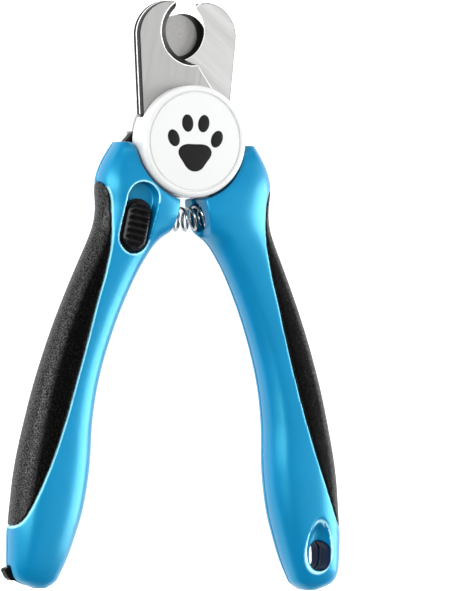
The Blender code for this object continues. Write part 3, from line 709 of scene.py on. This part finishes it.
def lock_tools():
    """Slot, window and bolt channel of the lock."""
    window = STEM + 0.4
    half_x, half_y = BOLT_HALF[0] + LOCK_PLAY, BOLT_HALF[1] + LOCK_PLAY
    nose_low, nose_high = NOSE_X[0] - LOCK_PLAY, NOSE_X[1] + LOCK_PLAY
    channel = [(-half_x, -half_y), (half_x, -half_y), (half_x, 2.3), (nose_high, 7.5),
               (nose_high, 24.0), (nose_low, 24.0), (nose_low, 9.4 + LOCK_TRAVEL),
               (-half_x, half_y + LOCK_TRAVEL + 0.15)]
    shapes = ((stadium(0, SLOT_SHIFT, *SLOT_SIZE), SLOT_FLOOR, FAR),
              (rectangle(-window, -window, window, window + LOCK_TRAVEL), STEM, SLOT_FLOOR + GAP),
              (channel, -1.0, LOCK_BOLT_TOP + GAP + MOULD_FILL))
    return [prism("lock_tool", turned_about(shape, LOCK_LEAN, LOCK_CENTRE), low, high)
            for shape, low, high in shapes]


def file_tools():
    side = FILE_HALF_WIDTH + GAP
    height = FILE_HALF_THICKNESS + GAP
    end = arc(0, FILE_END - FILE_HALF_WIDTH, side, 0.0, 180.0, 20)
    half = FILE_CAP[1][0] + GAP
    top = FILE_CAP[0][1] + GAP
    step = FILE_CAP[-1][1] + GAP
    mouth = [(-half, top), (half, top), (half, -8.0), (-16.0, -8.0), (-16.0, step - 4.2), (-half, step)]
    shapes = (([(-side, 0.0), (side, 0.0)] + end, height), (mouth, FILE_CAP_HALF + GAP))
    return [prism("file_tool", turned_about(shape, FILE_LEAN, FILE_BASE), -z, z) for shape, z in shapes]


def recess_outline():
    return egg(HANG_CENTRE[0] + HANG_RECESS_SHIFT[0], HANG_CENTRE[1] + HANG_RECESS_SHIFT[1], *HANG_RECESS)


def hang_tools(level):
    tools = [prism("hang_tool", stadium(*HANG_CENTRE, *HANG_HOLE), -FAR, FAR)]
    if level == "front":
        x, y = HANG_CENTRE
        levels = ((0.45, HANG_RECESS_FLOOR - 0.4), (0.78, HANG_RECESS_FLOOR + 0.5), (1.0, MOUTH_Z),
                  (1.3, MOUTH_Z + 3))
        rings = []
        for share, z in levels:
            rings.append([(x + (px - x) * share, y + (py - y) * share, z) for px, py in recess_outline()])
        tools.append(loft("hang_tool", rings))
    return tools


def make_shell(word, side, level, material):
    name = f"{word}_{level}_shell"
    shell = loft(f"{name}_looks", handle_rings(side), material)
    bed = prism("bed", grip_area(GAP, side), -FAR, FAR)
    combine(bed, loft("core", handle_rings(side, GRIP_SIDE + GAP, GRIP_FACE + GAP)))
    tools = [bed]
    box = rectangle(-FAR - 20, -140, FAR + 20, 20)
    levels = (-FAR, HALF_GAP) if level == "front" else (-HALF_GAP, FAR)
    tools.append(prism("split", box, *levels))
    tools.append(prism("bore", circle(0, 0, HORN_BORE, 180), -FAR, FAR))
    tools.append(prism("lobe", lobe_cut(level, side), -FAR, FAR))
    tools.append(spring_pocket(side))
    pin_reach = PIN_REACH + MOULD_FILL
    tools += [prism("pin", circle(-x * side, y, PIN_HOLE, 24), -pin_reach, pin_reach) for x, y in TANG_PINS]
    reach = TANG_FAR + GAP
    outline = offset(blade_outline(False), GAP)
    if (side, level) == (-1, "rear"):
        tools.append(prism("tang", outline, -reach, HALF_GAP))
    if (side, level) == (1, "front"):
        tools.append(prism("tang", mirrored(outline), -HALF_GAP, reach))
    if (side, level) == (-1, "front"):
        tools += lock_tools()
    tools += file_tools() if side < 0 else hang_tools(level)
    for tool in tools:
        combine(shell, tool)
    mould(shell)
    mark_rim_highlight_and_hole_shade(shell, side, level)
    body = "left_handle" if side < 0 else "right_handle"
    place(shell, name, body)


def mark_rim_highlight_and_hole_shade(shell, side, level):
    """Stores on each vertex how near it is to a rim, for a painted highlight, and whether it lies in the
    hanging hole, for painted shade.

    The rims run beside the grip, round the lock's slot and round the hanging recess. A curve's penalty
    keeps its rim off the walls below the face.
    """
    mesh = shell.data
    places = np.empty(len(mesh.vertices) * 3)
    mesh.vertices.foreach_get("co", places)
    places = places.reshape(-1, 3) / MM
    curves = [([(x * side, y) for x, y in smooth_edge()[6:]], 0.0)]
    if (side, level) == (-1, "front"):
        curves.append((turned_about(stadium(0, SLOT_SHIFT, *SLOT_SIZE), LOCK_LEAN, LOCK_CENTRE), FAR))
    elif level == "front":
        curves.append((recess_outline(), FAR))
    normals = np.empty(len(mesh.vertices) * 3)
    mesh.vertices.foreach_get("normal", normals)
    facing = np.clip((np.abs(normals[2::3]) - 0.35) / 0.3, 0, 1)
    facing = facing * (places[:, 2] - MID_HEIGHT > SLOT_FLOOR + 1.2)
    near = np.full(len(places), FAR)
    for curve, penalty in curves:
        distance = np.full(len(places), FAR)
        for x, y in evenly_spaced(curve, 0.2):
            distance = np.minimum(distance, np.hypot(places[:, 0] - x, places[:, 1] - y))
        near = np.minimum(near, distance + (1 - facing) * penalty)
    # Painted highlight mask: full close to the curves, gone at one and a half rim widths.
    rim = np.clip(1.5 - near / RIM_HIGHLIGHT_WIDTH, 0, 1)
    mesh.attributes.new("rim", "FLOAT", "POINT").data.foreach_set("value", rim)
    # Painted shade mask for the walls of the hanging hole.
    shade = np.zeros(len(places))
    if side > 0:
        x, y = HANG_CENTRE
        width, length = HANG_HOLE
        reach = np.hypot(places[:, 0] - x, np.maximum(np.abs(places[:, 1] - y) - (length - width) / 2, 0))
        shade = np.clip((width / 2 + 0.45 - reach) / 0.3, 0, 1)
    mesh.attributes.new("shade", "FLOAT", "POINT").data.foreach_set("value", shade)


def evenly_spaced(curve, step):
    """Points every step along a curve."""
    points = np.array(curve)
    along = np.concatenate(([0.0], np.cumsum(np.hypot(*np.diff(points, axis=0).T))))
    marks = np.arange(0, along[-1], step)
    return zip(np.interp(marks, along, points[:, 0]), np.interp(marks, along, points[:, 1]))


def make_grip(word, side, material):
    grip = loft(f"{word}_grip_looks", handle_rings(side, GRIP_SINK, GRIP_SINK), material)
    combine(grip, prism("area", grip_area(0.0, side), -FAR, FAR), "INTERSECT")
    combine(grip, loft("core", handle_rings(side, GRIP_SIDE, GRIP_FACE)))
    mould(grip)
    # Painted sheen mask: how far each vertex faces sideways.
    normals = np.empty(len(grip.data.vertices) * 3)
    grip.data.vertices.foreach_get("normal", normals)
    sideways = np.hypot(normals[0::3], normals[1::3])
    grip.data.attributes.new("outward", "FLOAT", "POINT").data.foreach_set("value", sideways)
    place(grip, f"{word}_grip", "left_handle" if side < 0 else "right_handle")


# ---------------------------------------------------------------- metal pieces

def make_blade(name, side, body, materials):
    """materials: ground face, side in painted shade, bevel in a painted dark reflection, and the painted
    highlight along the edges.
    """
    outline = blade_outline(side < 0, 6)
    far = BLADE_FAR[side]
    if side < 0:
        outline = mirrored(outline)
        middle, half, depth = SIDE_LINE
        groove = offset(outline, -depth)
        rings = [(outline, BLADE_NEAR), (outline, middle - half), (groove, middle), (outline, middle + half),
                 (outline, far)]
    else:
        rings = [(outline, -far), (outline, -BLADE_NEAR)]
    blade = loft(f"{name}_looks", [[(x, y, z) for x, y in ring] for ring, z in rings])
    spare = 0.5
    slope = spare / (far - BLADE_NEAR)
    ends = []
    for share, z in ((-slope, BLADE_NEAR - spare), (1 + slope, far + spare)):
        x, y, radius = (a + (b - a) * share for a, b in zip(EDGE_CIRCLE, BEVEL_CIRCLE[side]))
        ends.append([(px * side, py, -z * side) for px, py in circle(x, y, radius, 200)])
    combine(blade, loft("notch", ends), solver="EXACT")
    if side < 0:
        combine(blade, prism("step", sector(*TANG_STEP), TANG_FAR, FAR), solver="EXACT")
    combine(blade, prism("hole", circle(0, 0, BOLT_HOLE, 48), -FAR, FAR), solver="EXACT")
    for x, y in TANG_PINS:
        combine(blade, prism("hole", circle(x * side, y, PIN_HOLE, 24), -FAR, FAR), solver="EXACT")

    # Painted light by face direction: sides take painted shade, the bevel by the notch a painted dark
    # reflection, other sloped faces a painted highlight.
    def kind(centre, normal):
        if abs(normal.z) > 0.95:
            return 0
        if abs(normal.z) > 0.1:
            return 2 if near_notch(centre, side) and not on_side_line(centre, side) else 3
        return 1

    paint(blade, materials, kind)
    round_edges(blade, BLADE_BEVEL, material=3, clamp=False)
    # Painted shade: the tang's sides and the outer chamfers away from the notch take the dark side steel.
    for face in blade.data.polygons:
        centre = face.center / MM - Vector((0, 0, MID_HEIGHT))
        outer = face.normal.x * side > 0.1 or face.normal.y > 0.3
        on_tang = centre.y < 4.0 and abs(face.normal.z) < 0.95
        kept = near_notch(centre, side) or on_side_line(centre, side)
        if on_tang or (face.material_index == 3 and outer and not kept):
            face.material_index = 1
    place(blade, name, body)


def near_notch(centre, side):
    x, y, radius = EDGE_CIRCLE
    return hypot(centre.x - x * side, centre.y - y) < radius + 3.0


def on_side_line(centre, side):
    """True beside the groove round the front jaw's side, well away from the notch."""
    x, y, radius = BEVEL_CIRCLE[side]
    clear_of_notch = hypot(centre.x - x * side, centre.y - y) > radius
    return side < 0 and abs(centre.z - SIDE_LINE[0]) < SIDE_LINE[1] and clear_of_notch


def guard_outline():
    x, y, radius = GUARD_TIP
    lean = degrees(atan2(y, x))
    flare = 90.0 - degrees(atan2(sqrt(hypot(x, y) ** 2 - (GUARD_HUB - radius) ** 2), GUARD_HUB - radius))
    tip = arc(x, y, radius, lean - 90.0 + flare, lean + 90.0 - flare, 80)
    return tip + arc(0, 0, GUARD_HUB, lean + 90.0 - flare, lean + 270.0 + flare, 80)


def make_guard(plate, pad_face):
    guard = prism("guard_looks", guard_outline(), *GUARD_Z)
    combine(guard, prism("pad", circle(*GUARD_PAD, 120), GUARD_Z[0] + GAP, GUARD_PAD_Z), "UNION", "EXACT")
    combine(guard, prism("hole", circle(0, 0, BOLT_HOLE, 48), -FAR, FAR), solver="EXACT")
    # Painted shade: the plate round the pad takes a near-black steel, the pad a lighter one.
    paint(guard, (plate, pad_face), lambda centre, normal: int(centre.z > GUARD_PAD_Z - 0.05))
    round_edges(guard, GUARD_BEVEL)
    place(guard, "guard_plate", "guard")


def make_spring(material):
    """Wire wound along an arc about the pivot."""
    steps = SPRING_TURNS * SPRING_STEPS
    reach = POCKET_ANGLE - SPRING_END_GAP

    def centre(i):
        share = i / steps
        angle = 2 * pi * SPRING_TURNS * share
        x, y = down_line(reach * (2 * share - 1), SPRING_ARC + SPRING_COIL * cos(angle))
        return np.array((x, y, -SPRING_COIL * sin(angle)))

    rings = []
    for i in range(steps + 1):
        here = centre(i)
        along = centre(i + 0.5) - centre(i - 0.5)
        along /= np.linalg.norm(along)
        x, y = down_line(reach * (2 * i / steps - 1), SPRING_ARC)
        out = here - np.array((x, y, 0.0))
        out -= along * (out @ along)
        out /= np.linalg.norm(out)
        side = np.cross(along, out)
        turn = [2 * pi * k / WIRE_SIDES for k in range(WIRE_SIDES)]
        rings.append([here + SPRING_WIRE * (cos(t) * out + sin(t) * side) for t in turn])
    spring = loft("return_spring_looks", rings, material)
    spring.data.shade_smooth()
    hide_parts("return_spring")
    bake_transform(spring)


# ---------------------------------------------------------------- caps

def make_cap(name, face, windows, body, material):
    """Cover with a rounded rim, a fine groove inside it and a slightly lower face."""
    inner = CAP_RADIUS - CAP_WALL
    top = CAP_FACE_Z - CAP_DISH
    ceiling = CAP_FACE_Z - CAP_SKIN
    rim = arc(CAP_RADIUS - CAP_FILLET, CAP_FACE_Z - CAP_FILLET, CAP_FILLET, 0.0, 90.0, 14)
    profile = [(0, ceiling), (inner, ceiling), (inner, CAP_SKIRT_Z + 0.2), (inner + 0.2, CAP_SKIRT_Z),
               (CAP_RADIUS - 0.25, CAP_SKIRT_Z), (CAP_RADIUS, CAP_SKIRT_Z + 0.25)] + rim
    profile += [(CAP_GROOVE[0], CAP_FACE_Z), (CAP_GROOVE[1], CAP_FACE_Z - 0.04),
                (CAP_GROOVE[2], top - CAP_GROOVE_DEPTH), (CAP_GROOVE[3], top - CAP_GROOVE_DEPTH),
                (CAP_GROOVE[4], top - 0.03), (CAP_GROOVE[5], top), (0, top)]
    if face < 0:
        profile = [(r, -z) for r, z in profile][::-1]
    cap = lathe(f"{name}_looks", profile, 256, material)
    for start, end, depth in windows:
        levels = sorted((0.0, depth * face))
        combine(cap, prism("window", sector(*CAP_WINDOW, start, end), *levels), solver="EXACT")
    cap.data.shade_smooth()
    cap.data.set_sharp_from_angle(angle=radians(32))
    place(cap, name, body)


def blob(points, base, height, name, material):
    """A thin printed patch with a soft edge; points go round its outline."""
    outline = np.array(points)
    centre = outline.mean(0)
    rings = []
    for share, z in ((1.0, base), (1.0, base + height * 0.6), (0.97, base + height), (0.5, base + height)):
        flat = centre + (outline - centre) * share
        rings.append([(x, y, z) for x, y in flat])
    patch = loft(name, rings, material)
    patch.data.shade_smooth()
    patch.data.set_sharp_from_angle(angle=radians(30))
    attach(patch, "right_handle")


def ellipse(cx, cy, a, b, lean, sides=48):
    points = [(a * cos(2 * pi * i / sides), b * sin(2 * pi * i / sides)) for i in range(sides)]
    return turned_about(points, lean, (cx, cy))


def make_print(material):
    """A plain paw mark: four toes and a pad."""
    base = CAP_FACE_Z - CAP_DISH - 0.01
    for index, (x, y, lean) in enumerate(PAW_TOES):
        blob(ellipse(x, y, *TOE_HALF, lean), base, PRINT_HEIGHT, f"paw_toe_{index}", material)
    pad = []
    for i in range(72):
        turn = 2 * pi * i / 72
        swell = 1.0 + 0.13 * cos(3 * (turn + pi / 2))
        pad.append((PAD_HALF[0] * swell * cos(turn), PAD_Y + PAD_HALF[1] * swell * sin(turn)))
    blob(pad, base, PRINT_HEIGHT, "paw_pad", material)


# ---------------------------------------------------------------- lock and file

def make_button(material):
    """Thumb button: a flat foot and a ribbed part, lofted along its length."""
    width, length = BUTTON_SIZE
    radius = width / 2
    straight = length / 2 - radius
    low = BASE_Z[1] - GAP
    flank = BUTTON_TOP - BUTTON_RISE
    steps = 240
    points = 36
    rings = []
    for i in range(1, steps):
        y = -length / 2 + length * i / steps
        beyond = max(0.0, abs(y) - straight)
        half = sqrt(max(radius ** 2 - beyond ** 2, 0.01))
        wave = 0.5 - 0.5 * cos(2 * pi * y / RIB_PITCH)
        rib = wave ** 0.45
        ends = min(1.0, max(0.0, (length / 2 - 0.9 - abs(y)) / 0.5))
        ring = [(half, low), (half - 0.15, flank)]
        for k in range(points + 1):
            x = (half - 0.15) * cos(pi * k / points)
            edge = half - 0.15 - abs(x)
            rise = min(1.0, edge / 1.1) ** 0.5
            inside = min(1.0, max(0.0, (edge - 0.5) / 0.4))
            ring.append((x, flank + CROWN_RISE * rise + RIB_RISE * rib * inside * ends))
        ring += [(-half + 0.15, flank), (-half, low)]
        spots = turned_about([(x, y + BUTTON_SHIFT) for x, _ in ring], LOCK_LEAN, LOCK_CENTRE)
        rings.append([(px, py, z) for (px, py), (_, z) in zip(spots, ring)])
    ribbed = loft("lock_ribs", rings, material)
    foot = stadium(0, BUTTON_SHIFT, *BASE_SIZE)
    button = prism("lock_button_looks", turned_about(foot, LOCK_LEAN, LOCK_CENTRE), *BASE_Z, material)
    round_edges(button, BUTTON_BEVEL, 3)
    combine(button, ribbed, "UNION", "EXACT")
    stem = turned_about(rectangle(-STEM, -STEM, STEM, STEM), LOCK_LEAN, LOCK_CENTRE)
    combine(button, prism("stem", stem, STEM_END, low), "UNION", "EXACT")
    leaf_space = rectangle(LEAF_X[0] - GAP, -20.0, LEAF_X[1] + GAP, 20.0)
    leaf_tool = prism("leaf", turned_about(leaf_space, LOCK_LEAN, LOCK_CENTRE), SLOT_FLOOR, LEAF_GROOVE_TOP)
    combine(button, leaf_tool, solver="EXACT")
    button.data.shade_smooth()
    button.data.set_sharp_from_angle(angle=radians(40))
    place(button, "lock_button", "lock")


def make_file_blade(material):
    """Flat file with two sets of grooves crossing in diamonds on both faces."""
    centre = FILE_END - FILE_HALF_WIDTH
    count = int((FILE_END - FILE_START) / FILE_STEP)
    across = np.linspace(-1, 1, 41)
    lean = radians(FILE_CUT_LEAN)
    rings = []
    grooves = []
    for i in range(count + 1):
        y = FILE_START + (FILE_END - FILE_START) * i / count
        beyond = max(0.0, y - centre)
        half = sqrt(max(FILE_HALF_WIDTH ** 2 - beyond ** 2, 0.02))
        x = across * half
        relief = np.ones_like(x)
        for sign in (1, -1):
            phase = (x * cos(lean) + sign * y * sin(lean)) / FILE_PITCH
            valley = np.abs(phase - np.round(phase)) * FILE_PITCH
            relief = np.minimum(relief, np.clip(valley / FILE_CUT_HALF, 0, 1))
        margin = np.clip((half - np.abs(x)) / 0.5, 0, 1)
        inside = 1.0 if FILE_CUT_START < y < FILE_END - 1.0 else 0.0
        cut = (1 - relief) * margin * inside
        # Painted shade mask: how deep each point lies in a groove.
        grooves.extend(np.concatenate((cut, cut[::-1])).tolist())
        z = FILE_HALF_THICKNESS - FILE_CUT_DEPTH * cut - FILE_EDGE_DROP * (1 - margin)
        ring = np.concatenate((np.column_stack((x, z)), np.column_stack((x[::-1], -z[::-1]))))
        flat = turned_about([(px, y) for px in ring[:, 0]], FILE_LEAN, FILE_BASE)
        rings.append([(px, py, pz) for (px, py), pz in zip(flat, ring[:, 1])])
    blade = loft("nail_file_looks", rings, material)
    blade.data.attributes.new("groove", "FLOAT", "POINT").data.foreach_set("value", grooves)
    blade.data.shade_smooth()
    blade.data.set_sharp_from_angle(angle=radians(40))
    place(blade, "nail_file_blade", "nail_file")


def make_file_cap(material):
    outline = turned_about(FILE_CAP, FILE_LEAN, FILE_BASE)
    cap = prism("nail_file_cap_looks", outline, -FILE_CAP_HALF, FILE_CAP_HALF, material)
    side = FILE_HALF_WIDTH + GAP
    height = FILE_HALF_THICKNESS + GAP
    slot = rectangle(-side, FILE_START - GAP, side, 20.0)
    combine(cap, prism("slot", turned_about(slot, FILE_LEAN, FILE_BASE), -height, height), solver="EXACT")
    for index in range(CATCH_LINES):
        y = LINE_START + index * LINE_PITCH
        line = rectangle(-12.0, y - LINE_HALF, LINE_REACH, y + LINE_HALF)
        groove = turned_about(line, FILE_LEAN, FILE_BASE)
        for sign in (-1, 1):
            levels = sorted((sign * (FILE_CAP_HALF - LINE_DEPTH), sign * 4.0))
            combine(cap, prism("groove", groove, *levels), solver="EXACT")
    mould(cap, CATCH_VOXEL, CATCH_ROUNDING)
    place(cap, "nail_file_cap", "nail_file")


# ---------------------------------------------------------------- stage

def make_camera():
    """View from above, tilted towards the left handle, almost parallel."""
    tilt, roll = radians(VIEW_TILT), radians(VIEW_ROLL)
    away = Vector((-sin(tilt), 0.0, cos(tilt)))
    side = Vector((cos(tilt), 0.0, sin(tilt)))
    up = Vector((0.0, 1.0, 0.0))
    right = side * cos(roll) + up * sin(roll)
    top = up * cos(roll) - side * sin(roll)
    aim = PIVOT + right * VIEW_SHIFT[0] * MM - top * VIEW_SHIFT[1] * MM
    data = bpy.data.cameras.new("camera")
    data.sensor_fit = "VERTICAL"
    data.sensor_height = 36.0
    data.lens = data.sensor_height * VIEW_DISTANCE / VIEW_HEIGHT
    camera = bpy.data.objects.new("camera", data)
    matrix = Matrix((right, top, away)).transposed().to_4x4()
    matrix.translation = aim + away * VIEW_DISTANCE
    camera.matrix_world = matrix
    bpy.context.scene.collection.objects.link(camera)
    bpy.context.scene.camera = camera


def add_light(name, place_at, size, radiance, target=(0.0, -0.04, 0.0)):
    data = bpy.data.lights.new(name, "AREA")
    data.shape = "RECTANGLE"
    data.size, data.size_y = size
    data.energy = radiance * pi * size[0] * size[1]
    light = bpy.data.objects.new(name, data)
    light.location = place_at
    light.rotation_euler = (Vector(target) - Vector(place_at)).to_track_quat("-Z", "Y").to_euler()
    bpy.context.scene.collection.objects.link(light)


def make_stage():
    square = rectangle(-FLOOR_REACH, -FLOOR_REACH, FLOOR_REACH, FLOOR_REACH)
    corners = [(x, y, -MID_HEIGHT) for x, y in square]
    floor = add_mesh("floor", corners, [(0, 1, 2, 3)], floor_paper())
    world = bpy.data.worlds.new("world")
    world.use_nodes = True
    background = world.node_tree.nodes["Background"]
    background.inputs["Color"].default_value = (1.0, 1.0, 1.0, 1.0)
    background.inputs["Strength"].default_value = 0.22
    bpy.context.scene.world = world
    add_light("card", (0.55, 0.0, 1.2), (1.5, 1.5), 0.8)
    add_light("key", (-1.0, 0.2, 0.7), (0.6, 1.4), 9.0)
    add_light("fill", (1.2, -0.1, 0.40), (0.8, 1.2), 10.0)
    add_light("top", (0.0, 1.1, 0.8), (1.2, 0.3), 3.0)
    bpy.context.scene.view_settings.view_transform = "Standard"


# ---------------------------------------------------------------- assembly

def main():
    blue, rubber, white = blue_plastic(), black_rubber(), white_plastic()
    plated = tumbled_steel("plated_steel", 0.60, (0.25, 0.4))
    bright = tumbled_steel("bright_wire", 0.45, (0.06, 0.14))
    # Painted shade, painted dark reflection and painted highlight for the blades: near-black steel for sides
    # and notch bevel, near-white steel for the edge line.
    side = tumbled_steel("painted_dark_side", 0.010, (0.35, 0.5), 0.1)
    bevel = tumbled_steel("painted_dark_bevel", 0.012, (0.3, 0.4), 0.1)
    edge = tumbled_steel("painted_highlight_edge", 0.92, (0.3, 0.4), 0.2)
    for word, sign in (("left", -1), ("right", 1)):
        for level in ("front", "rear"):
            make_shell(word, sign, level, blue)
        make_grip(word, sign, rubber)
    # Painted shade: the rear jaw's tang is dark below y = 4 mm.
    rear_face = ground_steel("ground_rear_jaw", 0.53, -38.0, shade_below_y=4.0)
    # Painted shade: the front jaw's face is a darker grey than the rear jaw's, though both are the same
    # steel.
    front_face = ground_steel("ground_front_jaw", 0.41, 80.0, 3600.0)
    make_blade("rear_blade", 1, "left_handle", (rear_face, side, bevel, edge))
    make_blade("front_blade", -1, "right_handle", (front_face, side, bevel, edge))
    # The guard's plate is near-black as painted shade round its lighter pad.
    make_guard(tumbled_steel("guard_plate_painted_shade", 0.08, (0.3, 0.45)),
               tumbled_steel("tumbled_guard", 0.355, (0.3, 0.45)))
    front_seat = BLADE_FAR[-1] + GAP
    rear_seat = BLADE_FAR[1] + GAP
    front_windows = ((-68.0, 8.8, front_seat), (48.0, 156.0, front_seat), (-145.0, -95.0, front_seat))
    rear_windows = ((24.0, 132.0, rear_seat), (171.2, 248.0, rear_seat), (8.0, 127.0, GAP - GUARD_Z[0]))
    make_cap("front_cap", 1, front_windows, "right_handle", white)
    make_cap("rear_cap", -1, rear_windows, "left_handle", white)
    make_print(printed_ink())
    make_spring(bright)
    make_button(black_plastic("button_black", 0.16))
    make_file_blade(cross_cut_steel())
    make_file_cap(black_plastic("catch_black", 0.02))
    for name in ("pivot_bolt", "pivot_nut", "pivot_washer", "guard_friction_washer", "lock_bolt",
                 "lock_detent_spring", "left_upper_tang_pin", "left_lower_tang_pin",
                 "right_upper_tang_pin", "right_lower_tang_pin"):
        node = frame["nodes"][name]
        node.data.materials.clear()
        node.data.materials.append(plated)
    make_camera()
    make_stage()


main()
